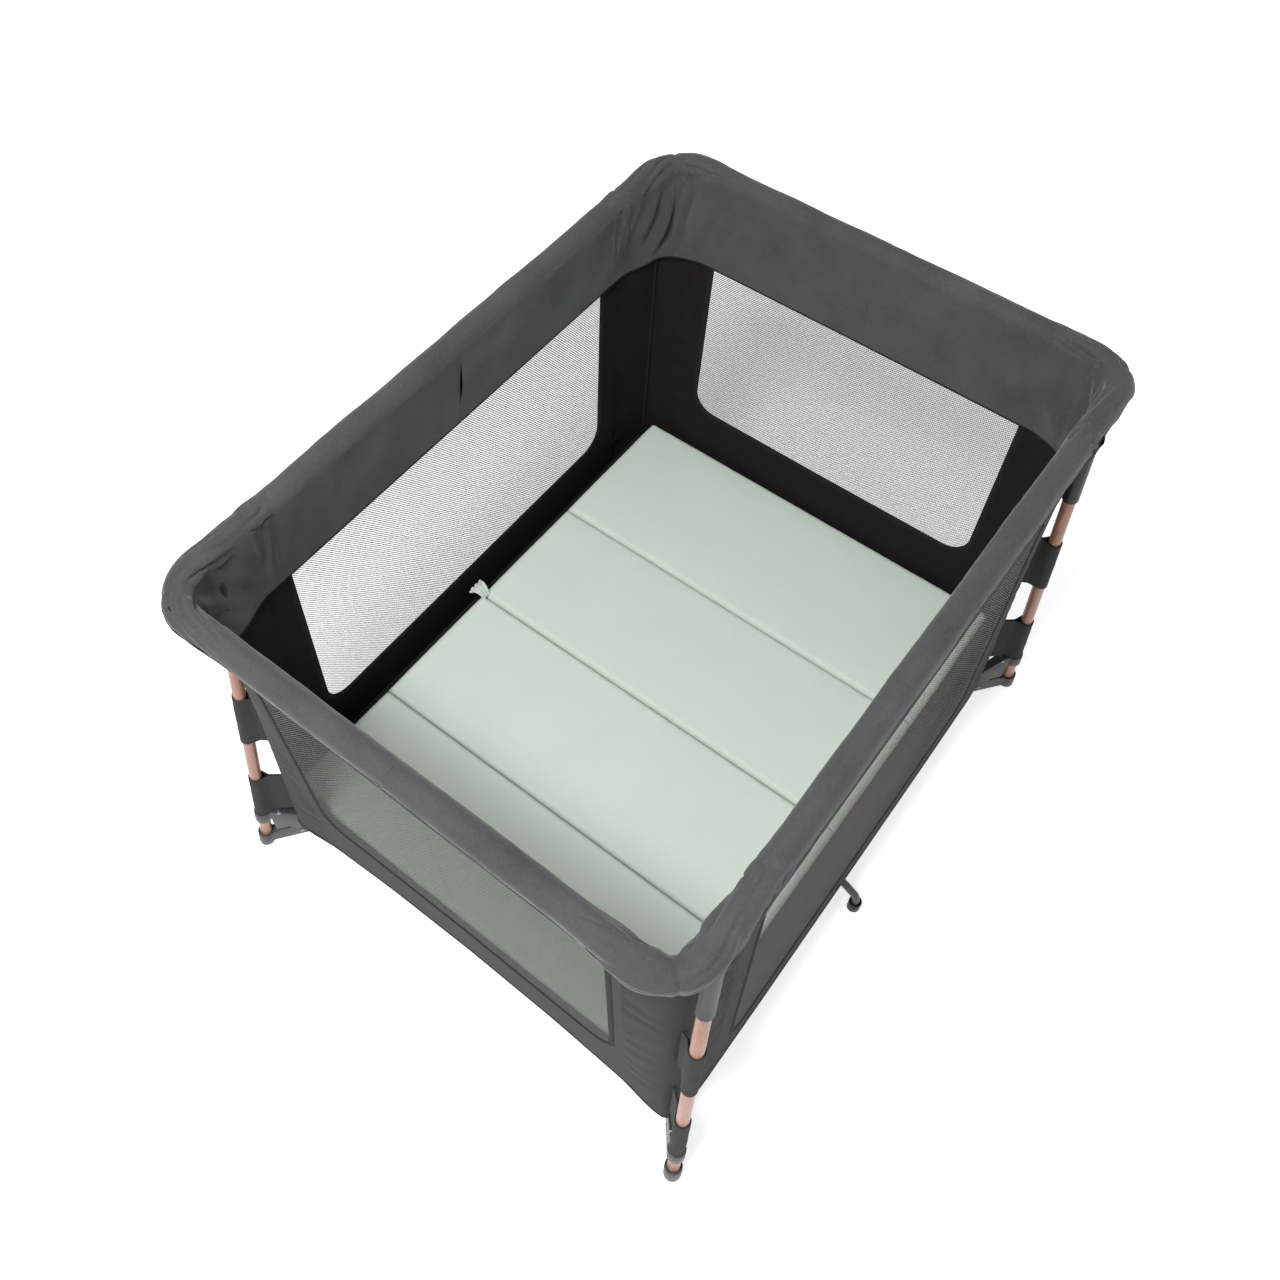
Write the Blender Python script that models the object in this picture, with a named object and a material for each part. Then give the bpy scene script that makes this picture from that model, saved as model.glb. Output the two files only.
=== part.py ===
"""Folding playpen (travel cot): padded top rail, four splayed legs, folding base frame, fabric tub and mattress.

Metres, +Z up. The origin is on the floor under the middle of the pen, +X runs along its long side.
"""

import math

import bmesh
import bpy
from mathutils import Matrix, Vector

# Legs: the axis of each leg tube runs from its foot to its top, splayed a little outwards.
FOOT_X = 0.520
FOOT_Y = 0.4195
TOP_X = 0.4421
TOP_Y = 0.3727
RAIL_Z = 0.7735
LEG_RADIUS = 0.0095
LEG_BORE = 0.0082
LEG_LOW = 0.014
LEG_HIGH = 0.727

# Top rail: centrelines of the padded cover, and the pivots inside it.
RAIL_X = 0.5224
RAIL_Y = 0.378
BEND_RADIUS = 0.055
LONG_PIVOT_X = 0.420
SHORT_PIVOT_Y = 0.330
LOCK_PIVOT = 0.035
RAIL_TUBE_RADIUS = 0.009
COVER_RADIUS = 0.0208
COVER_HOLLOW = 0.0173

# Hinges: a flat eye turns on a pin between two cheeks.
EYE_THICK = 0.008
EYE_RADIUS = 0.009
EYE_HOLE = 0.0036
EYE_LENGTH = 0.022
CHEEK_GAP = 0.0086
CHEEK_THICK = 0.0035
CHEEK_RADIUS = 0.011
PIN_RADIUS = 0.003

# Base frame: four arms from the hub to the foot brackets, all level.
BASE_Z = 0.176
ARM_X = LONG_PIVOT_X - LOCK_PIVOT
ARM_Y = SHORT_PIVOT_Y - LOCK_PIVOT
ARM_RADIUS = 0.008
BRACKET_REACH = 0.092

# Fabric and mattress.
HEM_Z = 0.080
WALL_TOP_Z = 0.750
WALL_THICK = 0.003
WALL_ROWS = 5
MESH_THICK = 0.0012
WINDOW_LOW = 0.235
WINDOW_HIGH = 0.620
LONG_WINDOW = 0.345
SHORT_WINDOW = 0.275
FLOOR_LOW = 0.1885
FLOOR_HIGH = 0.1935
MATTRESS_LOW = 0.194
MATTRESS_HIGH = 0.2216
MATTRESS_SEAMS = (-0.470, -0.2595, -0.023, 0.209, 0.470)
MATTRESS_HALF_WIDTH = 0.350

GAP = 0.0003
CORNERS = {
    "front_left": (-1, -1),
    "back_left": (-1, 1),
    "front_right": (1, -1),
    "back_right": (1, 1),
}


def clear_scene():
    for old in list(bpy.data.objects):
        bpy.data.objects.remove(old, do_unlink=True)


def material(name, colour, roughness, metallic=0.0):
    made = bpy.data.materials.get(name)
    if made:
        return made
    made = bpy.data.materials.new(name)
    made.use_nodes = True
    shader = made.node_tree.nodes["Principled BSDF"]
    shader.inputs["Base Color"].default_value = (*colour, 1.0)
    shader.inputs["Roughness"].default_value = roughness
    shader.inputs["Metallic"].default_value = metallic
    return made


def copper_paint():
    return material("copper_paint", (0.62, 0.40, 0.30), 0.38, 0.25)


def grey_plastic():
    return material("grey_plastic", (0.125, 0.13, 0.13), 0.5)


def black_plastic():
    return material("black_plastic", (0.02, 0.02, 0.02), 0.45)


def steel():
    return material("galvanised_steel", (0.55, 0.55, 0.56), 0.4, 0.9)


def cover_cloth():
    return material("cover_cloth", (0.09, 0.088, 0.09), 0.85)


def tub_cloth():
    return material("tub_cloth", (0.06, 0.058, 0.058), 0.9)


def net_cloth():
    return material("net_cloth", (0.35, 0.34, 0.34), 0.8)


def mattress_cloth():
    return material("mattress_cloth", (0.50, 0.58, 0.50), 0.8)


def leg_point(corner, z):
    sx, sy = corner
    share = z / RAIL_Z
    x = FOOT_X + (TOP_X - FOOT_X) * share
    y = FOOT_Y + (TOP_Y - FOOT_Y) * share
    return Vector((sx * x, sy * y, z))


def inward(corner):
    sx, sy = corner
    return Vector((-sx * ARM_X, -sy * ARM_Y, 0.0)).normalized()


def foot_pivot(corner):
    at = leg_point(corner, 0.0) + inward(corner) * BRACKET_REACH
    at.z = BASE_Z
    return at


def hub_pivot(corner):
    sx, sy = corner
    return foot_pivot(corner) + Vector((-sx * ARM_X, -sy * ARM_Y, 0.0))


def long_pivot(corner):
    sx, sy = corner
    return Vector((sx * LONG_PIVOT_X, sy * RAIL_Y, RAIL_Z))


def short_pivot(corner):
    sx, sy = corner
    return Vector((sx * RAIL_X, sy * SHORT_PIVOT_Y, RAIL_Z))


def add_cylinder(shape, start, end, radius, sides=16, bore=0.0):
    """A round bar, or a pipe with open ends if it has a bore."""
    axis = (end - start).normalized()
    side = axis.cross(Vector((0, 0, 1)))
    if side.length < 0.5:
        side = axis.cross(Vector((1, 0, 0)))
    side.normalize()
    other = axis.cross(side)
    loops = []
    for radial in (radius, bore):
        if radial <= 0.0:
            continue
        for centre in (start, end):
            loop = []
            for k in range(sides):
                turn = 2 * math.pi * k / sides
                spoke = side * math.cos(turn) + other * math.sin(turn)
                loop.append(shape.verts.new(centre + spoke * radial))
            loops.append(loop)
    if bore > 0.0:
        pairs = ((0, 1), (1, 3), (3, 2), (2, 0))
    else:
        pairs = ((0, 1),)
        shape.faces.new(reversed(loops[0]))
        shape.faces.new(loops[1])
    for a, b in pairs:
        for k in range(sides):
            n = (k + 1) % sides
            shape.faces.new((loops[a][k], loops[a][n], loops[b][n], loops[b][k]))
    return shape


def add_slab(shape, outline, thickness):
    """A flat plate: the outline moved by half the thickness vector each way."""
    low = [shape.verts.new(p - thickness / 2) for p in outline]
    high = [shape.verts.new(p + thickness / 2) for p in outline]
    shape.faces.new(low)
    shape.faces.new(reversed(high))
    count = len(outline)
    for k in range(count):
        n = (k + 1) % count
        shape.faces.new((low[k], high[k], high[n], low[n]))
    return shape


def eye_outline(pivot, along, up, radius, length, arc=8):
    """Half a circle round the pivot, then two straight sides along the bar."""
    points = []
    for k in range(arc + 1):
        turn = math.pi / 2 + math.pi * k / arc
        points.append(pivot + (along * math.cos(turn) + up * math.sin(turn)) * radius)
    for height in (-radius, 0.0, radius):
        points.append(pivot + along * length + up * height)
    return points


def add_eye(shape, pivot, along, length):
    """A flat eye with a round hole at the pivot, in the upright plane of the bar."""
    up = Vector((0, 0, 1))
    across = along.cross(up).normalized()
    outer = eye_outline(pivot, along, up, EYE_RADIUS, length)
    inner = []
    count = len(outer)
    for k, point in enumerate(outer):
        turn = math.pi / 2 + math.pi * k / (count - 4)
        if k > count - 4:
            turn = math.radians(40) * (k - count + 2)
        inner.append(pivot + (along * math.cos(turn) + up * math.sin(turn)) * EYE_HOLE)
    loops = []
    for ring in (outer, inner):
        for offset in (-EYE_THICK / 2, EYE_THICK / 2):
            loops.append([shape.verts.new(p + across * offset) for p in ring])
    for a, b in ((0, 1), (1, 3), (3, 2), (2, 0)):
        for k in range(count):
            n = (k + 1) % count
            shape.faces.new((loops[a][k], loops[a][n], loops[b][n], loops[b][k]))
    return shape


def add_cheeks(shapes, pivot, along, length):
    """Two cheeks and a pin that hold an eye. The cheeks run back along the given way."""
    up = Vector((0, 0, 1))
    across = along.cross(up).normalized()
    reach = CHEEK_GAP / 2 + CHEEK_THICK
    for way in (-1, 1):
        middle = pivot + across * (way * (CHEEK_GAP + CHEEK_THICK) / 2)
        outline = eye_outline(middle, along, up, CHEEK_RADIUS, length)
        shapes.append(add_slab(bmesh.new(), outline, across * CHEEK_THICK))
    ends = pivot - across * (reach - 0.001), pivot + across * (reach - 0.001)
    shapes.append(add_cylinder(bmesh.new(), ends[0], ends[1], PIN_RADIUS, 12))


def mesh_object(name, shape):
    bmesh.ops.recalc_face_normals(shape, faces=shape.faces)
    mesh = bpy.data.meshes.new(name)
    shape.to_mesh(mesh)
    shape.free()
    made = bpy.data.objects.new(name, mesh)
    bpy.context.scene.collection.objects.link(made)
    return made


def combine(base, shapes, operation):
    """Unites the shapes with the base, or cuts them out of it, and applies the result."""
    others = []
    for shape in shapes:
        others.append(mesh_object("tool", shape))
    for other in others:
        change = base.modifiers.new("combine", "BOOLEAN")
        change.operation = operation
        change.solver = "EXACT"
        change.object = other
        bpy.context.view_layer.objects.active = base
        bpy.ops.object.modifier_apply(modifier=change.name)
        bpy.data.objects.remove(other, do_unlink=True)
    return base


def united(name, shapes):
    return combine(mesh_object(name, shapes[0]), shapes[1:], "UNION")


def finish(made, stuff, origin, smooth=40.0):
    """Puts the object's origin at its joint or reference point, and gives it its material."""
    mesh = made.data
    mesh.transform(Matrix.Translation(-origin))
    made.location = origin
    mesh.materials.clear()
    mesh.materials.append(stuff)
    mesh.shade_smooth()
    mesh.set_sharp_from_angle(angle=math.radians(smooth))
    return made


def attach(child, parent):
    bpy.context.view_layer.update()
    child.parent = parent
    child.matrix_parent_inverse = parent.matrix_world.inverted()


def link_bar(name, start, end, radius, length, stuff):
    """A tube with a flat eye at each end; start and end are the two pivots."""
    along = (end - start).normalized()
    overlap = 0.004
    tube = add_cylinder(
        bmesh.new(), start + along * length[0], end - along * length[1], radius
    )
    eyes = [
        add_eye(bmesh.new(), start, along, length[0] + overlap),
        add_eye(bmesh.new(), end, -along, length[1] + overlap),
    ]
    return finish(united(name, [tube, *eyes]), stuff, start)


def leg_tube(name, corner):
    shape = add_cylinder(
        bmesh.new(),
        leg_point(corner, LEG_LOW),
        leg_point(corner, LEG_HIGH),
        LEG_RADIUS,
        20,
        LEG_BORE,
    )
    return finish(mesh_object(name, shape), copper_paint(), leg_point(corner, LEG_LOW))


def foot_bracket(name, corner):
    """Cup under the tube, collar round it, a three-cornered plate, and the clevis of the arm."""
    cup = (0.000, 0.030)
    collar = (0.079, 0.104)
    shell = LEG_RADIUS + 0.0040
    bore = LEG_RADIUS + GAP
    plate_thick = CHEEK_GAP + 2 * CHEEK_THICK
    origin = leg_point(corner, 0.0)
    way = inward(corner)
    across = way.cross(Vector((0, 0, 1))).normalized()
    profile = (
        (0.004, 0.002),
        (0.070, 0.003),
        (0.077, 0.010),
        (0.079, 0.046),
        (0.106, 0.080),
        (0.106, BASE_Z - 0.016),
        (BRACKET_REACH - CHEEK_RADIUS, BASE_Z - 0.016),
        (0.079, 0.074),
        (0.070, 0.066),
        (0.042, 0.094),
        (0.030, 0.102),
        (0.006, 0.102),
        (0.006, 0.080),
        (0.022, 0.080),
        (0.022, 0.038),
        (0.045, 0.038),
        (0.045, 0.033),
        (0.024, 0.033),
        (0.022, 0.029),
        (0.004, 0.029),
    )
    outline = [origin + way * s + Vector((0, 0, z)) for s, z in profile]
    shapes = [add_slab(bmesh.new(), outline, across * plate_thick)]
    low = leg_point(corner, cup[0] - 0.010)
    shapes.append(add_cylinder(bmesh.new(), low, leg_point(corner, cup[1]), shell, 20))
    ends = leg_point(corner, collar[0]), leg_point(corner, collar[1])
    shapes.append(add_cylinder(bmesh.new(), ends[0], ends[1], shell, 20))
    made = united(name, shapes)
    pivot = foot_pivot(corner)
    eye_space = [
        pivot + way * s + Vector((0, 0, z))
        for s, z in ((-0.06, -0.03), (0.06, -0.03), (0.06, 0.05), (-0.06, 0.05))
    ]
    bores = [
        add_cylinder(
            bmesh.new(), leg_point(corner, LEG_LOW - GAP), leg_point(corner, 0.2), bore, 20
        ),
        add_slab(bmesh.new(), eye_space, across * CHEEK_GAP),
        floor_block(),
    ]
    combine(made, bores, "DIFFERENCE")
    lugs = []
    add_cheeks(lugs, pivot, Vector((0, 0, -1)), 0.020)
    combine(made, lugs, "UNION")
    return finish(made, grey_plastic(), pivot)


def floor_block():
    """Everything below the floor, to trim a leaning cup flat."""
    outline = [Vector((x, y, -0.05)) for x, y in ((-1, -1), (1, -1), (1, 1), (-1, 1))]
    return add_slab(bmesh.new(), outline, Vector((0, 0, 0.1)))


def corner_casting(name, corner):
    """Socket over the top of the leg tube, and a bent bar with a clevis for each rail."""
    sx, sy = corner
    socket = 0.0120
    sleeve_low = 0.5686
    bar = 0.016
    centre = (RAIL_X - BEND_RADIUS, RAIL_Y - BEND_RADIUS)
    stop = CHEEK_RADIUS + 0.006
    middle = [(LONG_PIVOT_X + stop, RAIL_Y)]
    steps = 5
    last = math.asin((SHORT_PIVOT_Y + stop - centre[1]) / BEND_RADIUS)
    for k in range(steps + 1):
        turn = math.pi / 2 + (last - math.pi / 2) * k / steps
        middle.append(
            (
                centre[0] + BEND_RADIUS * math.cos(turn),
                centre[1] + BEND_RADIUS * math.sin(turn),
            )
        )
    outer = []
    inner = []
    for k, point in enumerate(middle):
        before = middle[max(k - 1, 0)]
        after = middle[min(k + 1, len(middle) - 1)]
        run = Vector((after[0] - before[0], after[1] - before[1], 0)).normalized()
        side = Vector((-run.y, run.x, 0)) * (bar / 2)
        at = Vector((point[0], point[1], 0))
        outer.append(at + side)
        inner.append(at - side)
    band = outer + inner[::-1]
    outline = [Vector((sx * p.x, sy * p.y, RAIL_Z)) for p in band]
    shapes = [add_slab(bmesh.new(), outline, Vector((0, 0, bar)))]
    ends = leg_point(corner, sleeve_low), leg_point(corner, RAIL_Z)
    shapes.append(add_cylinder(bmesh.new(), ends[0], ends[1], socket, 20))
    add_cheeks(shapes, long_pivot(corner), Vector((sx, 0, 0)), stop + 0.004)
    add_cheeks(shapes, short_pivot(corner), Vector((0, sy, 0)), stop + 0.0025)
    made = united(name, shapes)
    bore = add_cylinder(
        bmesh.new(),
        leg_point(corner, 0.5),
        leg_point(corner, LEG_HIGH + GAP),
        LEG_RADIUS + GAP,
        20,
    )
    combine(made, [bore], "DIFFERENCE")
    return finish(made, black_plastic(), leg_point(corner, RAIL_Z))


def base_hub(name):
    """Round moulded hub with a clevis for each arm and each middle leg."""
    thick = 0.020
    middle = Vector((0, 0, BASE_Z))
    lift = Vector((0, 0, thick / 2))
    shapes = [add_cylinder(bmesh.new(), middle - lift, middle + lift, 0.052, 32)]
    for corner in CORNERS.values():
        pivot = hub_pivot(corner)
        way = inward(corner)
        add_cheeks(shapes, pivot, way, 0.050)
        start = pivot + way * (CHEEK_RADIUS + 0.004)
        end = pivot + way * 0.050
        side = way.cross(Vector((0, 0, 1))) * (CHEEK_GAP / 2 + CHEEK_THICK)
        outline = [start - side, end - side, end + side, start + side]
        shapes.append(add_slab(bmesh.new(), outline, Vector((0, 0, 0.019))))
    for side in (-1, 1):
        pivot = mid_pivot(side)
        add_cheeks(shapes, pivot, Vector((0, -side, 0)), 0.024)
    return finish(united(name, shapes), grey_plastic(), Vector((0, 0, BASE_Z)))


def mid_pivot(side):
    return Vector((0.016 * side, 0.066 * side, BASE_Z))


def mid_leg(name, side):
    """Bent tube from the hub out under the hem and down to the floor."""
    pivot = mid_pivot(side)
    radius = 0.0062
    run = (
        (0.018, 0.0),
        (0.215, 0.0),
        (0.252, -0.016),
        (0.288, -0.072),
        (0.308, -0.108),
        (0.332, -0.122),
        (0.350, -0.134),
        (0.3545, -0.148),
        (0.3545, -0.161),
    )
    points = [pivot + Vector((0, side * y, z)) for y, z in run]
    shape = add_sweep(bmesh.new(), points, Vector((1, 0, 0)), radius, 0.0, 14)
    eye = add_eye(bmesh.new(), pivot, Vector((0, side, 0)), EYE_LENGTH)
    return finish(united(name, [shape, eye]), grey_plastic(), pivot)


def mid_foot(name, side):
    """Black cap over the end of the middle leg."""
    tip = mid_pivot(side) + Vector((0, side * 0.3545, -0.161))
    base = Vector((tip.x, tip.y, 0.0))
    cap = add_cylinder(bmesh.new(), base, base + Vector((0, 0, 0.024)), 0.0105, 16)
    made = mesh_object(name, cap)
    hole = add_sweep(
        bmesh.new(),
        [tip - Vector((0, 0, 0.0015)), tip + Vector((0, 0, 0.02))],
        Vector((1, 0, 0)),
        0.0083,
        0.0,
        14,
    )
    combine(made, [hole], "DIFFERENCE")
    return finish(made, black_plastic(), base)


def add_sweep(shape, points, across, radius, bore, sides, end_run=None):
    """A round section carried along points that lie in the plane square to across."""
    count = len(points)
    rings = {}
    for which, radial in enumerate((radius, bore)):
        if radial <= 0.0:
            continue
        for k, point in enumerate(points):
            before = points[max(k - 1, 0)]
            after = points[min(k + 1, count - 1)]
            run = (after - before).normalized()
            if end_run and k == count - 1:
                run = end_run
            first = (point - before).normalized() if k else run
            side = run.cross(across).normalized()
            stretch = 1.0 / max(first.dot(run), 0.5)
            ring = []
            for n in range(sides):
                turn = 2 * math.pi * n / sides
                spoke = across * math.cos(turn) + side * (math.sin(turn) * stretch)
                ring.append(shape.verts.new(point + spoke * radial))
            rings[which, k] = ring
    for which in range(2):
        if (which, 0) not in rings:
            continue
        for k in range(count - 1):
            quad_strip(shape, rings[which, k], rings[which, k + 1])
    for k in (0, count - 1):
        if (1, k) in rings:
            quad_strip(shape, rings[0, k], rings[1, k])
        else:
            shape.faces.new(rings[0, k])
    return shape


def quad_strip(shape, first, second):
    sides = len(first)
    for n in range(sides):
        m = (n + 1) % sides
        shape.faces.new((first[n], first[m], second[m], second[n]))


def rail_lock(name, centre, along):
    """Housing between two half rails, with a clevis at each end and a button hole below."""
    up = Vector((0, 0, 1))
    across = along.cross(up).normalized()
    half_width = CHEEK_GAP / 2 + CHEEK_THICK
    reach = LOCK_PIVOT - CHEEK_RADIUS - 0.004
    outline = [
        centre + along * a + across * b
        for a, b in (
            (-reach, -half_width - 0.0015),
            (reach, -half_width - 0.0015),
            (reach, half_width + 0.0015),
            (-reach, half_width + 0.0015),
        )
    ]
    shapes = [add_slab(bmesh.new(), outline, up * 0.021)]
    for way in (-1, 1):
        pivot = centre + along * (way * LOCK_PIVOT)
        add_cheeks(shapes, pivot, along * -way, LOCK_PIVOT - reach + 0.004)
    made = united(name, shapes)
    low = centre - up * 0.020
    hole = add_cylinder(bmesh.new(), low, centre + up * 0.002, 0.0063, 16)
    combine(made, [hole], "DIFFERENCE")
    return finish(made, black_plastic(), centre - along * LOCK_PIVOT)


def lock_button(name, centre):
    """Round release button that slides up into the housing."""
    low = centre - Vector((0, 0, 0.0135))
    high = centre - Vector((0, 0, 0.0030))
    shape = add_cylinder(bmesh.new(), low, high, 0.0058, 16)
    return finish(mesh_object(name, shape), grey_plastic(), low)


def rail_path(corner, long_side):
    """Centreline of one half cover, from the middle of its side to the seam at the corner."""
    sx, sy = corner
    centre = (RAIL_X - BEND_RADIUS, RAIL_Y - BEND_RADIUS)
    gap = 0.0006
    flat = [(gap, RAIL_Y), (centre[0], RAIL_Y)]
    first, last = math.pi / 2, math.pi / 4
    if not long_side:
        flat = [(RAIL_X, gap), (RAIL_X, centre[1])]
        first, last = 0.0, math.pi / 4
    steps = 4
    for k in range(1, steps + 1):
        turn = first + (last - first) * k / steps
        flat.append(
            (
                centre[0] + BEND_RADIUS * math.cos(turn),
                centre[1] + BEND_RADIUS * math.sin(turn),
            )
        )
    before, tip = Vector(flat[-2]), Vector(flat[-1])
    flat[-1] = tuple(tip - (tip - before).normalized() * gap)
    return [Vector((sx * x, sy * y, RAIL_Z)) for x, y in flat]


def rail_cover(name, corner, long_side):
    """Padded sleeve round half a rail, open under the corner for the leg."""
    points = rail_path(corner, long_side)
    sx, sy = corner
    seam_run = Vector((sx, -sy, 0)) if long_side else Vector((-sx, sy, 0))
    shape = add_sweep(
        bmesh.new(),
        points,
        Vector((0, 0, 1)),
        COVER_RADIUS,
        COVER_HOLLOW,
        18,
        seam_run.normalized(),
    )
    made = mesh_object(name, shape)
    if long_side:
        hole = add_cylinder(
            bmesh.new(), leg_point(corner, 0.6), leg_point(corner, RAIL_Z), 0.0140, 16
        )
        combine(made, [hole], "DIFFERENCE")
    pivot = long_pivot(corner) if long_side else short_pivot(corner)
    return finish(made, cover_cloth(), pivot)


def wall_line(high):
    """Plan of a quarter of the tub wall, at its hem or at its top, in the +X +Y corner."""
    if high:
        line = (
            (0.0006, 0.380),
            (0.395, 0.380),
            (0.430, 0.361),
            (0.466, 0.357),
            (0.488, 0.335),
            (0.506, 0.300),
            (0.510, 0.0006),
        )
    else:
        line = (
            (0.0006, 0.388),
            (0.395, 0.388),
            (0.450, 0.384),
            (0.478, 0.376),
            (0.481, 0.352),
            (0.474, 0.300),
            (0.470, 0.0006),
        )
    return line


def wall_side(line, offset):
    """The line moved sideways by half a wall, square to its two neighbours."""
    moved = []
    for k, point in enumerate(line):
        before = line[max(k - 1, 0)]
        after = line[min(k + 1, len(line) - 1)]
        run = Vector((after[0] - before[0], after[1] - before[1])).normalized()
        moved.append((point[0] - run.y * offset, point[1] + run.x * offset))
    return moved


def tub_fabric(name, corner):
    """A quarter of the tub wall with half a window on each side and two loops round the leg."""
    sx, sy = corner
    shape = bmesh.new()
    sides = []
    for offset in (-WALL_THICK / 2, WALL_THICK / 2):
        foot = wall_side(wall_line(False), offset)
        head = wall_side(wall_line(True), offset)
        rows = []
        for level in range(WALL_ROWS + 1):
            share = level / WALL_ROWS
            row = []
            for (x0, y0), (x1, y1) in zip(foot, head):
                x = x0 + (x1 - x0) * share
                y = y0 + (y1 - y0) * share
                z = HEM_Z + (WALL_TOP_Z - HEM_Z) * share
                row.append(shape.verts.new((sx * x, sy * y, z)))
            rows.append(row)
        sides.append(rows)
    for rows in sides:
        for lower, upper in zip(rows, rows[1:]):
            for k in range(len(lower) - 1):
                shape.faces.new((lower[k], lower[k + 1], upper[k + 1]))
                shape.faces.new((lower[k], upper[k + 1], upper[k]))
    for level in (0, WALL_ROWS):
        inner, outer = sides[0][level], sides[1][level]
        for k in range(len(inner) - 1):
            shape.faces.new((inner[k], inner[k + 1], outer[k + 1]))
            shape.faces.new((inner[k], outer[k + 1], outer[k]))
    for k in (0, -1):
        for level in range(WALL_ROWS):
            inner, outer = sides[0], sides[1]
            shape.faces.new((inner[level][k], inner[level + 1][k], outer[level + 1][k]))
            shape.faces.new((inner[level][k], outer[level + 1][k], outer[level][k]))
    made = mesh_object(name, shape)
    windows = []
    for long_side in (True, False):
        half = LONG_WINDOW if long_side else SHORT_WINDOW
        level = (WINDOW_LOW + WINDOW_HIGH) / 2
        near = 0.36 if long_side else 0.42
        far = 0.42 if long_side else 0.56
        if long_side:
            plan = ((-0.01, near), (half, near), (half, far), (-0.01, far))
        else:
            plan = ((near, -0.01), (far, -0.01), (far, half), (near, half))
        outline = [Vector((sx * x, sy * y, level)) for x, y in plan]
        tall = Vector((0, 0, WINDOW_HIGH - WINDOW_LOW))
        windows.append(add_slab(bmesh.new(), outline, tall))
    combine(made, windows, "DIFFERENCE")
    loops = []
    for low, high, reach in ((0.1050, 0.2187, 0.050), (0.3355, 0.4551, 0.036)):
        ends = leg_point(corner, low), leg_point(corner, high)
        loops.append(add_cylinder(bmesh.new(), ends[0], ends[1], 0.0122, 20))
        way = inward(corner)
        across = way.cross(Vector((0, 0, 1))).normalized()
        outline = [
            ends[0] + way * 0.006,
            ends[1] + way * 0.006,
            ends[1] + way * reach,
            ends[0] + way * (reach + 0.004),
        ]
        loops.append(add_slab(bmesh.new(), outline, across * 0.006))
    combine(made, loops, "UNION")
    bore = add_cylinder(
        bmesh.new(), leg_point(corner, 0.08), leg_point(corner, 0.5), LEG_RADIUS + GAP, 20
    )
    combine(made, [bore], "DIFFERENCE")
    return finish(made, tub_cloth(), leg_point(corner, HEM_Z))


def mesh_window(name, long_side, side):
    """Flat net in the window of one side, in the plane of the wall."""
    half = (LONG_WINDOW if long_side else SHORT_WINDOW) - 0.0006
    low, high = WINDOW_LOW + 0.0006, WINDOW_HIGH - 0.0006
    row = 0 if long_side else -1
    pick = 1 if long_side else 0
    foot, top = wall_line(False)[row][pick], wall_line(True)[row][pick]
    outline = []
    for along, z in ((-half, low), (half, low), (half, high), (-half, high)):
        out = foot + (top - foot) * (z - HEM_Z) / (WALL_TOP_Z - HEM_Z)
        plan = (along, side * out) if long_side else (side * out, along)
        outline.append(Vector((plan[0], plan[1], z)))
    across = Vector((0, MESH_THICK, 0)) if long_side else Vector((MESH_THICK, 0, 0))
    made = mesh_object(name, add_slab(bmesh.new(), outline, across))
    return finish(made, net_cloth(), (outline[0] + outline[1]) / 2)


def tub_floor(name):
    """Flat floor of the tub, over the hub and the arms."""
    half_x, half_y, cut = 0.464, 0.378, 0.020
    quarter = ((half_x, half_y - cut), (half_x - cut, half_y))
    plan = []
    for sx, sy in ((1, 1), (-1, 1), (-1, -1), (1, -1)):
        pair = quarter if sx * sy > 0 else quarter[::-1]
        plan += [(sx * x, sy * y) for x, y in pair]
    level = (FLOOR_LOW + FLOOR_HIGH) / 2
    outline = [Vector((x, y, level)) for x, y in plan]
    tall = Vector((0, 0, FLOOR_HIGH - FLOOR_LOW))
    made = mesh_object(name, add_slab(bmesh.new(), outline, tall))
    return finish(made, tub_cloth(), Vector((0, 0, FLOOR_LOW)))


def mattress_panel(name, left, right, pivot):
    """One of the four boards of the mattress, with soft edges."""
    seam = 0.0008
    shape = bmesh.new()
    bmesh.ops.create_cube(shape, size=1.0)
    made = mesh_object(name, shape)
    size = (right - left - 2 * seam, 2 * MATTRESS_HALF_WIDTH, MATTRESS_HIGH - MATTRESS_LOW)
    made.data.transform(Matrix.Diagonal((*size, 1.0)))
    middle = ((left + right) / 2, 0.0, (MATTRESS_LOW + MATTRESS_HIGH) / 2)
    made.data.transform(Matrix.Translation(middle))
    soft = made.modifiers.new("soft_edge", "BEVEL")
    soft.width = 0.008
    soft.segments = 2
    soft.harden_normals = False
    bpy.context.view_layer.objects.active = made
    bpy.ops.object.modifier_apply(modifier=soft.name)
    return finish(made, mattress_cloth(), pivot)


def build_base():
    hub = base_hub("base_hub")
    for word, side in (("front", -1), ("back", 1)):
        leg = mid_leg("mid_leg_" + word, side)
        foot = mid_foot("mid_foot_" + word, side)
        attach(foot, leg)
        attach(leg, hub)
    attach(tub_floor("tub_floor"), hub)
    return hub


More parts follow.
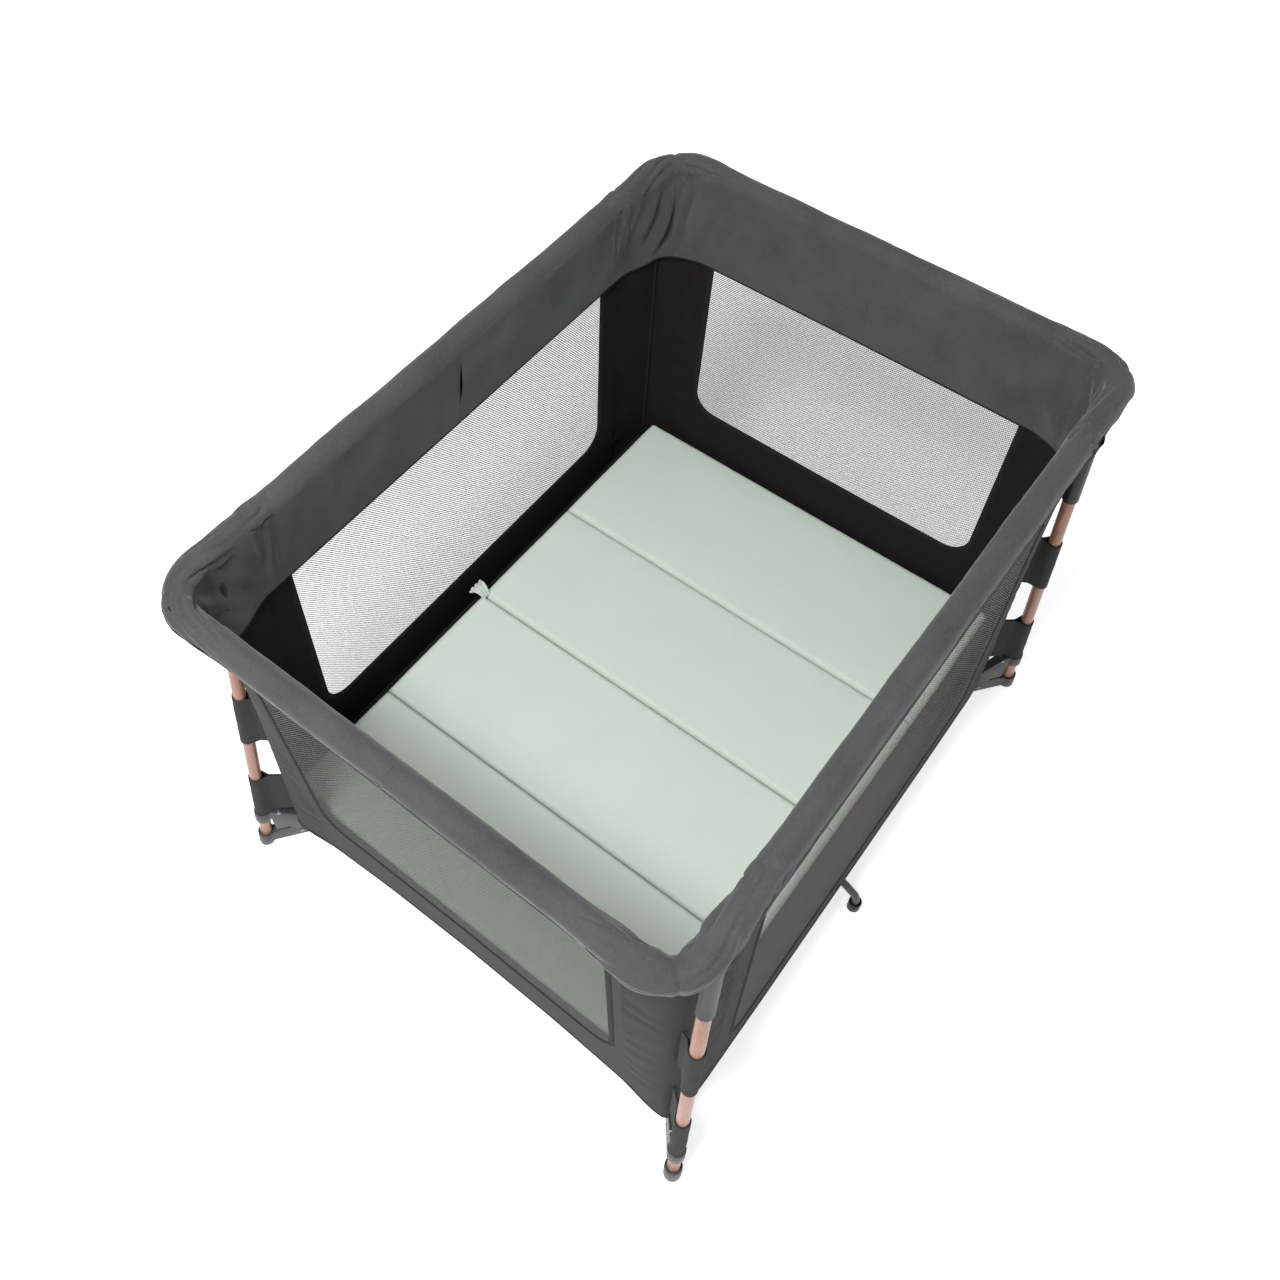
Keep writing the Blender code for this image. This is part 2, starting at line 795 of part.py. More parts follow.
def build_corner(word, corner, hub):
    arm = link_bar(
        "base_arm_" + word,
        hub_pivot(corner),
        foot_pivot(corner),
        ARM_RADIUS,
        (EYE_LENGTH, EYE_LENGTH),
        steel(),
    )
    bracket = foot_bracket("foot_bracket_" + word, corner)
    tube = leg_tube("leg_tube_" + word, corner)
    casting = corner_casting("corner_casting_" + word, corner)
    fabric = tub_fabric("tub_fabric_" + word, corner)
    for piece in (tube, casting, fabric):
        attach(piece, bracket)
    attach(bracket, arm)
    attach(arm, hub)
    sx, sy = corner
    ends = {
        "long": (long_pivot(corner), Vector((sx * LOCK_PIVOT, sy * RAIL_Y, RAIL_Z))),
        "short": (short_pivot(corner), Vector((sx * RAIL_X, sy * LOCK_PIVOT, RAIL_Z))),
    }
    for kind, (start, end) in ends.items():
        bar = link_bar(
            f"{kind}_rail_{word}",
            start,
            end,
            RAIL_TUBE_RADIUS,
            (EYE_LENGTH - 0.004, EYE_LENGTH - 0.004),
            steel(),
        )
        cover = rail_cover(f"{kind}_cover_{word}", corner, kind == "long")
        attach(cover, bar)
        attach(bar, casting)


def build_locks():
    for word, side in (("front", -1), ("back", 1)):
        centre = Vector((0, side * RAIL_Y, RAIL_Z))
        housing = rail_lock("long_lock_" + word, centre, Vector((1, 0, 0)))
        attach(lock_button("long_button_" + word, centre), housing)
    for word, side in (("left", -1), ("right", 1)):
        centre = Vector((side * RAIL_X, 0, RAIL_Z))
        housing = rail_lock("short_lock_" + word, centre, Vector((0, 1, 0)))
        attach(lock_button("short_button_" + word, centre), housing)


def build_windows():
    for word, side in (("front", -1), ("back", 1)):
        mesh_window("mesh_window_" + word, True, side)
    for word, side in (("left", -1), ("right", 1)):
        mesh_window("mesh_window_" + word, False, side)


def build_mattress():
    """The middle seam opens at the top, the two outer seams open at the bottom."""
    panels = []
    middle = MATTRESS_SEAMS[2]
    for k in range(4):
        left, right = MATTRESS_SEAMS[k], MATTRESS_SEAMS[k + 1]
        seam = Vector((middle, 0, MATTRESS_HIGH))
        if k == 0:
            seam = Vector((right, 0, MATTRESS_LOW))
        if k == 3:
            seam = Vector((left, 0, MATTRESS_LOW))
        panels.append(mattress_panel(f"mattress_panel_{k + 1}", left, right, seam))
    attach(panels[0], panels[1])
    attach(panels[3], panels[2])


clear_scene()
hub_object = build_base()
for corner_word, corner_signs in CORNERS.items():
    build_corner(corner_word, corner_signs, hub_object)
build_locks()
build_windows()
build_mattress()
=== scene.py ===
"""Folding playpen: cloth tub on a folding tube frame, with a padded folding mattress."""

import math

import bpy
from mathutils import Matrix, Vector, noise


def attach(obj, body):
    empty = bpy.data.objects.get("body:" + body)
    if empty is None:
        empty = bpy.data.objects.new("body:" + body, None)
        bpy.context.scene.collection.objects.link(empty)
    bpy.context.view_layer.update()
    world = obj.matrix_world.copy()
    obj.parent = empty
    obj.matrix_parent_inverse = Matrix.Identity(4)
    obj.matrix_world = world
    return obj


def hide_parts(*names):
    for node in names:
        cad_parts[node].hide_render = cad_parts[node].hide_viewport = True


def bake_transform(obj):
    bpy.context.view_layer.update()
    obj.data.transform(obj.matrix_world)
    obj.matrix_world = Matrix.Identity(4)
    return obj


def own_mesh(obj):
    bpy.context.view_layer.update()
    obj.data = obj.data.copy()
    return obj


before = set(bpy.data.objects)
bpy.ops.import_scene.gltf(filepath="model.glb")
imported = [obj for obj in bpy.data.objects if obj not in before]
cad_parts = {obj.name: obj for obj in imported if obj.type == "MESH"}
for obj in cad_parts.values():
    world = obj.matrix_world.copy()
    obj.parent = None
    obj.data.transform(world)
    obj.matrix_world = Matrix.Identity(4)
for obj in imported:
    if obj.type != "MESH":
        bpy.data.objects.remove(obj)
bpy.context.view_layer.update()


# Room. A wide white floor, a white sky, one big soft lamp overhead and a weak one
# from the side. The camera looks down into the pen from over its front left corner.
def plain_finish(name, colour, roughness):
    """New material with one even colour; returns it with its nodes, links and shader."""
    material = bpy.data.materials.new(name)
    material.use_nodes = True
    tree = material.node_tree
    shader = tree.nodes["Principled BSDF"]
    shader.inputs["Base Color"].default_value = (*colour, 1.0)
    shader.inputs["Roughness"].default_value = roughness
    return material, tree.nodes, tree.links, shader


def start_primitive():
    """Nothing selected, so that the next operator works on its own primitive alone."""
    bpy.ops.object.select_all(action="DESELECT")


def soft_lamp(name, place, aim, size, watts):
    lamp = bpy.data.lights.new(name, "AREA")
    lamp.shape = "DISK"
    lamp.size = size
    lamp.energy = watts
    holder = bpy.data.objects.new(name, lamp)
    bpy.context.scene.collection.objects.link(holder)
    holder.location = place
    look = Vector(aim) - Vector(place)
    holder.rotation_euler = look.to_track_quat("-Z", "Y").to_euler()


scene = bpy.context.scene
scene.view_settings.view_transform = "Standard"
sky = bpy.data.worlds.new("white_sky")
sky.use_nodes = True
sky.node_tree.nodes["Background"].inputs["Color"].default_value = (1.0, 1.0, 1.0, 1.0)
sky.node_tree.nodes["Background"].inputs["Strength"].default_value = 0.42
scene.world = sky
soft_lamp("overhead_lamp", (-1.28, 0.0, 2.95), (0.0, 0.0, 0.3), 0.8, 94.0)
soft_lamp("front_lamp", (-2.6, -1.6, 1.8), (0.0, 0.0, 0.5), 1.6, 12.0)

floor_paint, _, _, floor_shader = plain_finish("floor_paint", (0.93, 0.93, 0.93), 0.9)
floor_shader.inputs["Emission Color"].default_value = (1.0, 1.0, 1.0, 1.0)
floor_shader.inputs["Emission Strength"].default_value = 0.60
start_primitive()
bpy.ops.mesh.primitive_plane_add(size=14.0, location=(0.0, 0.0, -0.0005))
ground = bpy.context.object
ground.name = "studio_floor"
ground.data.materials.append(floor_paint)

camera = bpy.data.cameras.new("camera")
camera.sensor_width = 36.0
camera.lens = 35.915
camera.shift_x = 0.0462
camera.shift_y = -0.0623
camera.clip_start = 0.05
camera_holder = bpy.data.objects.new("camera", camera)
scene.collection.objects.link(camera_holder)
camera_holder.location = (-0.87276, -0.53507, 2.02678)
sight = Vector((0.45438, 0.35862, -0.81543))
upward = Vector((0.64340, 0.50097, 0.57885))
rightward = sight.cross(upward).normalized()
turn = camera_holder.matrix_world.to_3x3()
turn.col[0] = rightward
turn.col[1] = rightward.cross(sight).normalized()
turn.col[2] = -sight.normalized()
camera_holder.rotation_euler = turn.to_euler()
scene.camera = camera_holder


# Hidden frame. The rail tubes, base arms and hub are steel and nylon under the
# cloth; they keep their forms and only get a finish.
def speckled(name, colour, roughness, grain, size, metal=0.0):
    """Even colour with a fine grain in the colour and in the surface."""
    material, nodes, links, shader = plain_finish(name, colour, roughness)
    shader.inputs["Specular IOR Level"].default_value = 0.22
    shader.inputs["Metallic"].default_value = metal
    place = nodes.new("ShaderNodeTexCoord")
    speck = nodes.new("ShaderNodeTexNoise")
    speck.inputs["Scale"].default_value = size
    speck.inputs["Detail"].default_value = 3.0
    links.new(place.outputs["Object"], speck.inputs["Vector"])
    tint = nodes.new("ShaderNodeMix")
    tint.data_type = "RGBA"
    tint.inputs["A"].default_value = (*[c * (1 - grain) for c in colour], 1.0)
    tint.inputs["B"].default_value = (*[c * (1 + grain) for c in colour], 1.0)
    links.new(speck.outputs["Fac"], tint.inputs["Factor"])
    links.new(tint.outputs["Result"], shader.inputs["Base Color"])
    lift = nodes.new("ShaderNodeBump")
    lift.inputs["Strength"].default_value = 0.25
    lift.inputs["Distance"].default_value = 0.0002
    links.new(speck.outputs["Fac"], lift.inputs["Height"])
    links.new(lift.outputs["Normal"], shader.inputs["Normal"])
    return material


def paint(nodes, material):
    for node in nodes:
        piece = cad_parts[node]
        piece.data.materials.clear()
        piece.data.materials.append(material)


CORNERS = {
    "front_left": (-1, -1),
    "back_left": (-1, 1),
    "front_right": (1, -1),
    "back_right": (1, 1),
}
rail_steel = speckled("rail_steel", (0.34, 0.34, 0.35), 0.35, 0.06, 900.0, 0.9)
dark_steel = speckled("dark_steel", (0.085, 0.085, 0.088), 0.42, 0.10, 900.0)
black_nylon = speckled("black_nylon", (0.016, 0.016, 0.017), 0.5, 0.12, 1200.0)
grey_nylon = speckled("grey_nylon", (0.046, 0.047, 0.050), 0.45, 0.08, 1200.0)
paint(
    [f"{kind}_rail_{corner}" for corner in CORNERS for kind in ("long", "short")],
    rail_steel,
)
paint([f"base_arm_{corner}" for corner in CORNERS], dark_steel)
paint(["base_hub"], black_nylon)
paint(
    ["long_lock_front", "long_lock_back", "short_lock_left", "short_lock_right"],
    black_nylon,
)
paint(
    [
        "long_button_front",
        "long_button_back",
        "short_button_left",
        "short_button_right",
    ],
    grey_nylon,
)


# Moulded fittings. Glass-filled nylon corner castings, foot brackets and end caps,
# with the soft edges of a moulding; the middle legs are bent steel tube.
def eased_copy(node, body, material, edge):
    """Merged copy of a node's shell with its sharp edges rounded over."""
    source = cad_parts[node]
    piece = bpy.data.objects.new("moulded_" + node, source.data.copy())
    scene.collection.objects.link(piece)
    start_primitive()
    piece.select_set(True)
    bpy.context.view_layer.objects.active = piece
    bpy.ops.object.mode_set(mode="EDIT")
    bpy.ops.mesh.select_all(action="SELECT")
    bpy.ops.mesh.remove_doubles(threshold=0.00005)
    bpy.ops.mesh.dissolve_limited(angle_limit=math.radians(1.0))
    bpy.ops.object.mode_set(mode="OBJECT")
    if edge:
        ease = piece.modifiers.new("ease", "BEVEL")
        ease.width = edge
        ease.segments = 2
        ease.limit_method = "ANGLE"
        ease.angle_limit = math.radians(50.0)
        bpy.ops.object.modifier_apply(modifier="ease")
    bpy.ops.object.shade_smooth_by_angle(angle=math.radians(38.0))
    piece.data.materials.clear()
    piece.data.materials.append(material)
    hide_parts(node)
    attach(piece, body)


for corner in CORNERS:
    leg_body = "leg_" + corner
    eased_copy("foot_bracket_" + corner, leg_body, grey_nylon, 0.0006)
    eased_copy("corner_casting_" + corner, leg_body, black_nylon, 0.0)
for side in ("front", "back"):
    leg_body = f"mid_leg_{side}_body"
    eased_copy("mid_leg_" + side, leg_body, dark_steel, 0.0)
    eased_copy("mid_foot_" + side, leg_body, black_nylon, 0.0008)


# Legs. Round steel tube in a satin rose-copper paint, leaning inward toward the top,
# pushed into the bracket's cup below and the corner casting above.
FOOT_PLAN = (0.520, 0.4195)
RAIL_CENTRE_Z = 0.7735
LEG_TOP_PLAN = (0.4421, 0.3727)
LEG_RADIUS = 0.0095


def leg_line(corner_signs, z):
    sx, sy = corner_signs
    share = z / RAIL_CENTRE_Z
    x = FOOT_PLAN[0] + (LEG_TOP_PLAN[0] - FOOT_PLAN[0]) * share
    y = FOOT_PLAN[1] + (LEG_TOP_PLAN[1] - FOOT_PLAN[1]) * share
    return Vector((sx * x, sy * y, z))


def turned_rod(name, low, high, radius, edge, sides=40):
    """Round bar between two points with its end edges eased."""
    run = high - low
    start_primitive()
    bpy.ops.mesh.primitive_cylinder_add(
        vertices=sides, radius=radius, depth=run.length, location=(0, 0, 0)
    )
    piece = bpy.context.object
    piece.name = name
    ease = piece.modifiers.new("ease", "BEVEL")
    ease.width = edge
    ease.segments = 3
    ease.limit_method = "ANGLE"
    ease.angle_limit = math.radians(50.0)
    bpy.ops.object.modifier_apply(modifier="ease")
    stand = run.to_track_quat("Z", "Y").to_matrix().to_4x4()
    stand.translation = (low + high) / 2
    piece.data.transform(stand)
    bpy.ops.object.shade_smooth_by_angle(angle=math.radians(40.0))
    return piece


copper_paint, nodes, links, shader = plain_finish("copper_paint", (0.60, 0.42, 0.31), 0.38)
shader.inputs["Coat Weight"].default_value = 0.08
shader.inputs["Specular IOR Level"].default_value = 0.3
shader.inputs["Coat Roughness"].default_value = 0.25
place = nodes.new("ShaderNodeTexCoord")
stretch = nodes.new("ShaderNodeMapping")
stretch.inputs["Scale"].default_value = (260.0, 260.0, 9.0)
grain = nodes.new("ShaderNodeTexNoise")
grain.inputs["Scale"].default_value = 1.0
grain.inputs["Detail"].default_value = 4.0
tone = nodes.new("ShaderNodeValToRGB")
tone.color_ramp.elements[0].color = (0.24, 0.112, 0.072, 1.0)
tone.color_ramp.elements[0].position = 0.3
tone.color_ramp.elements[1].color = (0.35, 0.170, 0.112, 1.0)
tone.color_ramp.elements[1].position = 0.7
links.new(place.outputs["Object"], stretch.inputs["Vector"])
links.new(stretch.outputs["Vector"], grain.inputs["Vector"])
links.new(grain.outputs["Fac"], tone.inputs["Fac"])
links.new(tone.outputs["Color"], shader.inputs["Base Color"])
for corner, signs in CORNERS.items():
    leg = turned_rod(
        "leg_" + corner + "_tube",
        leg_line(signs, 0.014),
        leg_line(signs, 0.727),
        LEG_RADIUS,
        0.0008,
    )
    leg.data.materials.append(copper_paint)
    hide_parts("leg_tube_" + corner)
    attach(leg, "leg_" + corner)


# Bracket rivets. Domed steel heads through the three-cornered plate, one at the
# collar and one at the inner end, on both of its faces.
PLATE_HALF = 0.0078
RIVETS = ((0.036, 0.095), (0.060, 0.014))
ARM_RUN = Vector((0.385, 0.295, 0.0)).normalized()
rivet_steel = speckled("rivet_steel", (0.20, 0.20, 0.21), 0.35, 0.05, 900.0, 0.8)
for corner, (sx, sy) in CORNERS.items():
    inward = Vector((-sx * ARM_RUN.x, -sy * ARM_RUN.y, 0.0))
    across = inward.cross(Vector((0, 0, 1))).normalized()
    for number, (reach, height) in enumerate(RIVETS):
        middle = leg_line((sx, sy), 0.0) + inward * reach + Vector((0, 0, height))
        rivet = turned_rod(
            f"rivet_{corner}_{number}",
            middle - across * (PLATE_HALF + 0.0012),
            middle + across * (PLATE_HALF + 0.0012),
            0.0036,
            0.0010,
            20,
        )
        rivet.data.materials.append(rivet_steel)
        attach(rivet, "leg_" + corner)


# Tub wall. Four cloth sides and four gathered corners, sewn from woven polyester
# with a dark lining face inside, painted darker still as painted shade for the
# enclosed inside of the tub. Each side is in two halves, each riding on the leg
# of its corner. They hang from the rail covers down to a turned hem.
PLAN_TOP = (
    (0.0, 0.380),
    (0.370, 0.380),
    (0.398, 0.379),
    (0.432, 0.3625),
    (0.466, 0.357),
    (0.488, 0.335),
    (0.505, 0.302),
    (0.508, 0.282),
    (0.510, 0.0),
)
PLAN_HEM = (
    (0.0, 0.388),
    (0.370, 0.388),
    (0.408, 0.388),
    (0.450, 0.385),
    (0.478, 0.376),
    (0.481, 0.352),
    (0.475, 0.302),
    (0.473, 0.282),
    (0.470, 0.0),
)
PLAN_HEM_Z = 0.080
PLAN_TOP_Z = 0.750
LONG_SPLIT = 0.385
SHORT_SPLIT = 0.295
NET_TOP_Z = 0.620
NET_LOW_Z = {"front": 0.120, "left": 0.195, "back": 0.248, "right": 0.300}
HEM_Z = {"front": 0.052, "left": 0.078, "back": 0.070, "right": 0.076}
LONG_NET = 0.347
SHORT_NET = 0.276
CORNER_HEM_Z = 0.060
CLOTH_THICK = 0.0012
NET_CORNER = 0.045
HEM_PULL = 0.16
PUCKER_DEPTH = 0.0019
SLACK_DEPTH = 0.0035
TOP_LEAN = 0.022
LEAN_HALF = 0.085


def cut_corners(line, rounds):
    """The line with each inner corner cut twice over, ends kept."""
    for _ in range(rounds):
        eased = [line[0]]
        for before, after in zip(line, line[1:]):
            eased.append(before.lerp(after, 0.25))
            eased.append(before.lerp(after, 0.75))
        eased.append(line[-1])
        line = eased
    return line


top_line = cut_corners([Vector(p) for p in PLAN_TOP], 2)
hem_line = cut_corners([Vector(p) for p in PLAN_HEM], 2)
wall_marks = [0.0]
for before, after in zip(top_line, top_line[1:]):
    wall_marks.append(wall_marks[-1] + (after - before).length)
WALL_LENGTH = wall_marks[-1]
CORNER_END = WALL_LENGTH - SHORT_SPLIT


def wall_at(run, z):
    """Plan point of the wall at a distance from the middle of its long side."""
    k = 0
    while k < len(wall_marks) - 2 and wall_marks[k + 1] < run:
        k += 1
    share = (run - wall_marks[k]) / (wall_marks[k + 1] - wall_marks[k])
    high = top_line[k].lerp(top_line[k + 1], share)
    low = hem_line[k].lerp(hem_line[k + 1], share)
    rise = (z - PLAN_HEM_Z) / (PLAN_TOP_Z - PLAN_HEM_Z)
    return low.lerp(high, rise)


def wall_out(run):
    """Outward direction of the wall in plan."""
    ahead = wall_at(min(run + 0.004, WALL_LENGTH), 0.5)
    behind = wall_at(max(run - 0.004, 0.0), 0.5)
    step = (ahead - behind).normalized()
    return Vector((-step.y, step.x))


def side_names(signs):
    """The long and the short side that meet in a corner."""
    sx, sy = signs
    return ("front" if sy < 0 else "back"), ("left" if sx < 0 else "right")


def hem_height(run, signs):
    """The hem's height: level under a side, lower where it meets the leg."""
    long_name, short_name = side_names(signs)
    middle = HEM_Z[long_name] if run < WALL_LENGTH / 2 else HEM_Z[short_name]
    edge = min(abs(run - LONG_SPLIT), abs(run - CORNER_END))
    inside = LONG_SPLIT < run < CORNER_END
    pull = 1.0 if inside else max(0.0, 1.0 - edge / HEM_PULL)
    pull = pull * pull * (3 - 2 * pull)
    return middle + (CORNER_HEM_Z - middle) * pull


def puckers(run, z, seed):
    """Small gathers in the corner cloth, strongest beside the window bindings."""
    near = min(abs(run - LONG_SPLIT), abs(run - CORNER_END))
    fade = math.exp(-((near / 0.040) ** 2))
    drift = noise.noise(Vector((run * 12.0, z * 9.0, seed)))
    ridge = math.sin(z * 120.0 + drift * 9.0 + run * 60.0)
    depth = 0.5 + noise.noise(Vector((z * 7.0, seed * 3.0, 1.0)))
    broad = noise.noise(Vector((run * 9.0, z * 5.0, seed + 7.0)))
    return PUCKER_DEPTH * fade * ridge * max(0.0, depth) + SLACK_DEPTH * broad


def lean_out(run, z):
    """How far the top of the corner cloth leans out to reach the rail covers."""
    middle = (LONG_SPLIT + CORNER_END) / 2
    near = min(1.0, max(0.0, 1.0 - ((run - middle) / LEAN_HALF) ** 2) * 2.2)
    rise = max(0.0, (z - NET_TOP_Z) / (PLAN_TOP_Z - NET_TOP_Z))
    return TOP_LEAN * near * rise


def mirrored(signs, plan, z):
    """A place worked out for the back right corner, moved to the corner of the signs."""
    return Vector((signs[0] * plan.x, signs[1] * plan.y, z))


def sewn_grid(name, across, along, place):
    """Cloth grid whose points go where the rule says, from its two shares 0 to 1."""
    start_primitive()
    bpy.ops.mesh.primitive_grid_add(x_subdivisions=across, y_subdivisions=along, size=2.0)
    piece = bpy.context.object
    piece.name = name
    piece.data.name = name
    for vertex in piece.data.vertices:
        u, w = (vertex.co.x + 1) / 2, (vertex.co.y + 1) / 2
        vertex.co = place(u, w)
    piece.location = (0, 0, 0)
    return piece


def edit_mesh(piece):
    start_primitive()
    piece.select_set(True)
    bpy.context.view_layer.objects.active = piece
    bpy.ops.object.mode_set(mode="EDIT")
    bpy.ops.mesh.select_all(action="SELECT")


def turn_out(piece):
    edit_mesh(piece)
    bpy.ops.mesh.normals_make_consistent(inside=False)
    bpy.ops.object.mode_set(mode="OBJECT")


def close_up(piece, smooth):
    """Welds the long edges of a rolled grid together and caps its open ends."""
    edit_mesh(piece)
    bpy.ops.mesh.select_mode(type="EDGE")
    bpy.ops.mesh.remove_doubles(threshold=0.00002)
    bpy.ops.mesh.select_all(action="DESELECT")
    bpy.ops.mesh.select_non_manifold()
    bpy.ops.mesh.fill_holes(sides=0)
    bpy.ops.mesh.select_all(action="SELECT")
    bpy.ops.mesh.normals_make_consistent(inside=False)
    bpy.ops.object.mode_set(mode="OBJECT")
    bpy.ops.object.shade_smooth_by_angle(angle=math.radians(smooth))


def drop_faces(piece, unwanted):
    """Deletes the faces whose centre answers the rule."""
    edit_mesh(piece)
    bpy.ops.mesh.select_all(action="DESELECT")
    bpy.ops.mesh.select_mode(type="FACE")
    bpy.ops.object.mode_set(mode="OBJECT")
    for face in piece.data.polygons:
        face.select = unwanted(face.center)
    bpy.ops.object.mode_set(mode="EDIT")
    bpy.ops.mesh.delete(type="FACE")
    bpy.ops.object.mode_set(mode="OBJECT")


def thicken(piece, thick):
    """Gives an open sheet its cloth thickness, half to each side."""
    bpy.context.view_layer.objects.active = piece
    wall = piece.modifiers.new("wall", "SOLIDIFY")
    wall.thickness = thick
    wall.offset = 0.0
    wall.material_offset = 1 if len(piece.data.materials) > 1 else 0
    wall.material_offset_rim = 0
    start_primitive()
    piece.select_set(True)
    bpy.ops.object.modifier_apply(modifier="wall")
    bpy.ops.object.shade_smooth_by_angle(angle=math.radians(50.0))


def cloth_finish(name, colour, mottle, sheen):
    """Woven cloth: crossed yarns in the surface, a heathered tone and a soft sheen."""
    material, nodes, links, shader = plain_finish(name, colour, 0.85)
    shader.inputs["Sheen Weight"].default_value = sheen
    shader.inputs["Sheen Roughness"].default_value = 0.5
    shader.inputs["Specular IOR Level"].default_value = 0.08
    place = nodes.new("ShaderNodeTexCoord")
    heather = nodes.new("ShaderNodeTexNoise")
    heather.inputs["Scale"].default_value = 260.0
    heather.inputs["Detail"].default_value = 5.0
    heather.inputs["Roughness"].default_value = 0.7
    broad = nodes.new("ShaderNodeTexNoise")
    broad.inputs["Scale"].default_value = 14.0
    broad.inputs["Detail"].default_value = 3.0
    both = nodes.new("ShaderNodeMath")
    both.operation = "ADD"
    tone = nodes.new("ShaderNodeMapRange")
    tone.inputs["From Min"].default_value = 0.6
    tone.inputs["From Max"].default_value = 1.4
    tone.inputs["To Min"].default_value = 1.0 - mottle
    tone.inputs["To Max"].default_value = 1.0 + mottle
    shade = nodes.new("ShaderNodeVectorMath")
    shade.operation = "SCALE"
    shade.inputs["Vector"].default_value = colour
    yarn = nodes.new("ShaderNodeTexVoronoi")
    yarn.inputs["Scale"].default_value = 900.0
    lift = nodes.new("ShaderNodeBump")
    lift.inputs["Strength"].default_value = 0.35
    lift.inputs["Distance"].default_value = 0.0003
    for texture in (heather, broad, yarn):
        links.new(place.outputs["Object"], texture.inputs["Vector"])
    links.new(heather.outputs["Fac"], both.inputs[0])
    links.new(broad.outputs["Fac"], both.inputs[1])
    links.new(both.outputs["Value"], tone.inputs["Value"])
    links.new(tone.outputs["Result"], shade.inputs["Scale"])
    links.new(shade.outputs["Vector"], shader.inputs["Base Color"])
    links.new(yarn.outputs["Distance"], lift.inputs["Height"])
    links.new(lift.outputs["Normal"], shader.inputs["Normal"])
    return material


tub_cloth = cloth_finish("tub_cloth", (0.034, 0.033, 0.034), 0.10, 0.03)
# Inside face of the tub cloth: a dark lining, with its colour pushed darker as painted shade for
# the enclosed inside of the tub.
lining_and_painted_shade = cloth_finish("lining_and_painted_shade", (0.0115, 0.0100, 0.0105), 0.10, 0.01)
binding_cloth = cloth_finish("binding_cloth", (0.015, 0.0135, 0.014), 0.10, 0.02)


def in_net(run, z, long_side, low, grow):
    """True where the net of a side shows, its lower corners rounded off."""
    half = (LONG_NET if long_side else SHORT_NET) + grow
    if not (low - grow < z < NET_TOP_Z + grow) or run > half:
        return False
    dx, dz = run - (half - NET_CORNER), (low - grow + NET_CORNER) - z
    return dx <= 0 or dz <= 0 or math.hypot(dx, dz) < NET_CORNER


def fold_with_frame(piece, signs, part):
    """Rides on the leg; a side half also gets a mesh of its own."""
    sx, sy = signs
    corner = next(name for name, pair in CORNERS.items() if pair == (sx, sy))
    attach(piece, "leg_" + corner)
    if part == "long":
        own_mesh(piece)
    elif part == "short":
        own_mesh(piece)


# Parts of each corner's quarter of the wall: where each starts and stops along the
# run, and its columns of weave.
SPANS = {
    "long": (0.0, LONG_SPLIT, 64),
    "corner": (LONG_SPLIT, CORNER_END, 60),
    "short": (CORNER_END, WALL_LENGTH, 50),
}


for corner, signs in CORNERS.items():
    sx, sy = signs
    long_name, short_name = side_names(signs)
    for part, (start, stop, columns) in SPANS.items():
        seed = 3.0 + sx + 2.0 * sy

        def wall_place(u, w):
            run = start + (stop - start) * u
            low = hem_height(run, signs)
            z = low + (PLAN_TOP_Z - low) * w
            plan = wall_at(run, z)
            out = wall_out(run)
            push = puckers(run, z, seed) if part == "corner" else 0.0
            edge = min(u, 1 - u) * (stop - start)
            push *= min(1.0, edge / 0.006)
            return mirrored(signs, plan + out * (push + lean_out(run, z)), z)

        panel = sewn_grid(f"tub_{part}_{corner}", columns, 110, wall_place)
        if part != "corner":
            low = NET_LOW_Z[long_name if part == "long" else short_name]
            long_side = part == "long"
            drop_faces(
                panel,
                lambda c: in_net(
                    abs(c.x) if long_side else abs(c.y), c.z, long_side, low, 0.0
                ),
            )
        turn_out(panel)
        panel.data.update()
        facing = sum(
            Vector((face.center.x, face.center.y, 0)).dot(face.normal)
            for face in panel.data.polygons
        )
        if facing < 0:
            edit_mesh(panel)
            bpy.ops.mesh.flip_normals()
            bpy.ops.object.mode_set(mode="OBJECT")
        panel.data.materials.append(tub_cloth)
        # Second material is the inside face: dark lining plus painted shade.
        panel.data.materials.append(lining_and_painted_shade)
        thicken(panel, CLOTH_THICK)
        fold_with_frame(panel, signs, part)
        if part == "corner":
            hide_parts("tub_fabric_" + corner)


# Window nets. Warp-knitted polyester net with small diamond holes, one net to a
# side, caught in the bindings; it is made in two halves, each riding on its corner's leg.
NET_PITCH = 0.0040
NET_SLANT = 0.75
NET_OPEN = 0.81
NET_THICK = 0.0008
NET_TUCK = 0.006
NET_OWNER = {
    "front_left": "front",
    "back_left": "left",
    "back_right": "back",
    "front_right": "right",
}
net_cloth, nodes, links, shader = plain_finish("net_cloth", (0.085, 0.082, 0.083), 0.8)
place = nodes.new("ShaderNodeTexCoord")
split = nodes.new("ShaderNodeSeparateXYZ")
links.new(place.outputs["Object"], split.inputs["Vector"])
round_run = nodes.new("ShaderNodeMath")
round_run.operation = "ADD"
links.new(split.outputs["X"], round_run.inputs[0])
links.new(split.outputs["Y"], round_run.inputs[1])


def wave_of(first, second, slope):
    """Cosine of a slanting count of threads."""
    slant = nodes.new("ShaderNodeMath")
    slant.operation = "MULTIPLY_ADD"
    slant.inputs[1].default_value = slope
    links.new(second, slant.inputs[0])
    links.new(first, slant.inputs[2])
    count = nodes.new("ShaderNodeMath")
    count.operation = "MULTIPLY"
    count.inputs[1].default_value = 2 * math.pi / NET_PITCH
    links.new(slant.outputs["Value"], count.inputs[0])
    swing = nodes.new("ShaderNodeMath")
    swing.operation = "COSINE"
    links.new(count.outputs["Value"], swing.inputs[0])
    return swing


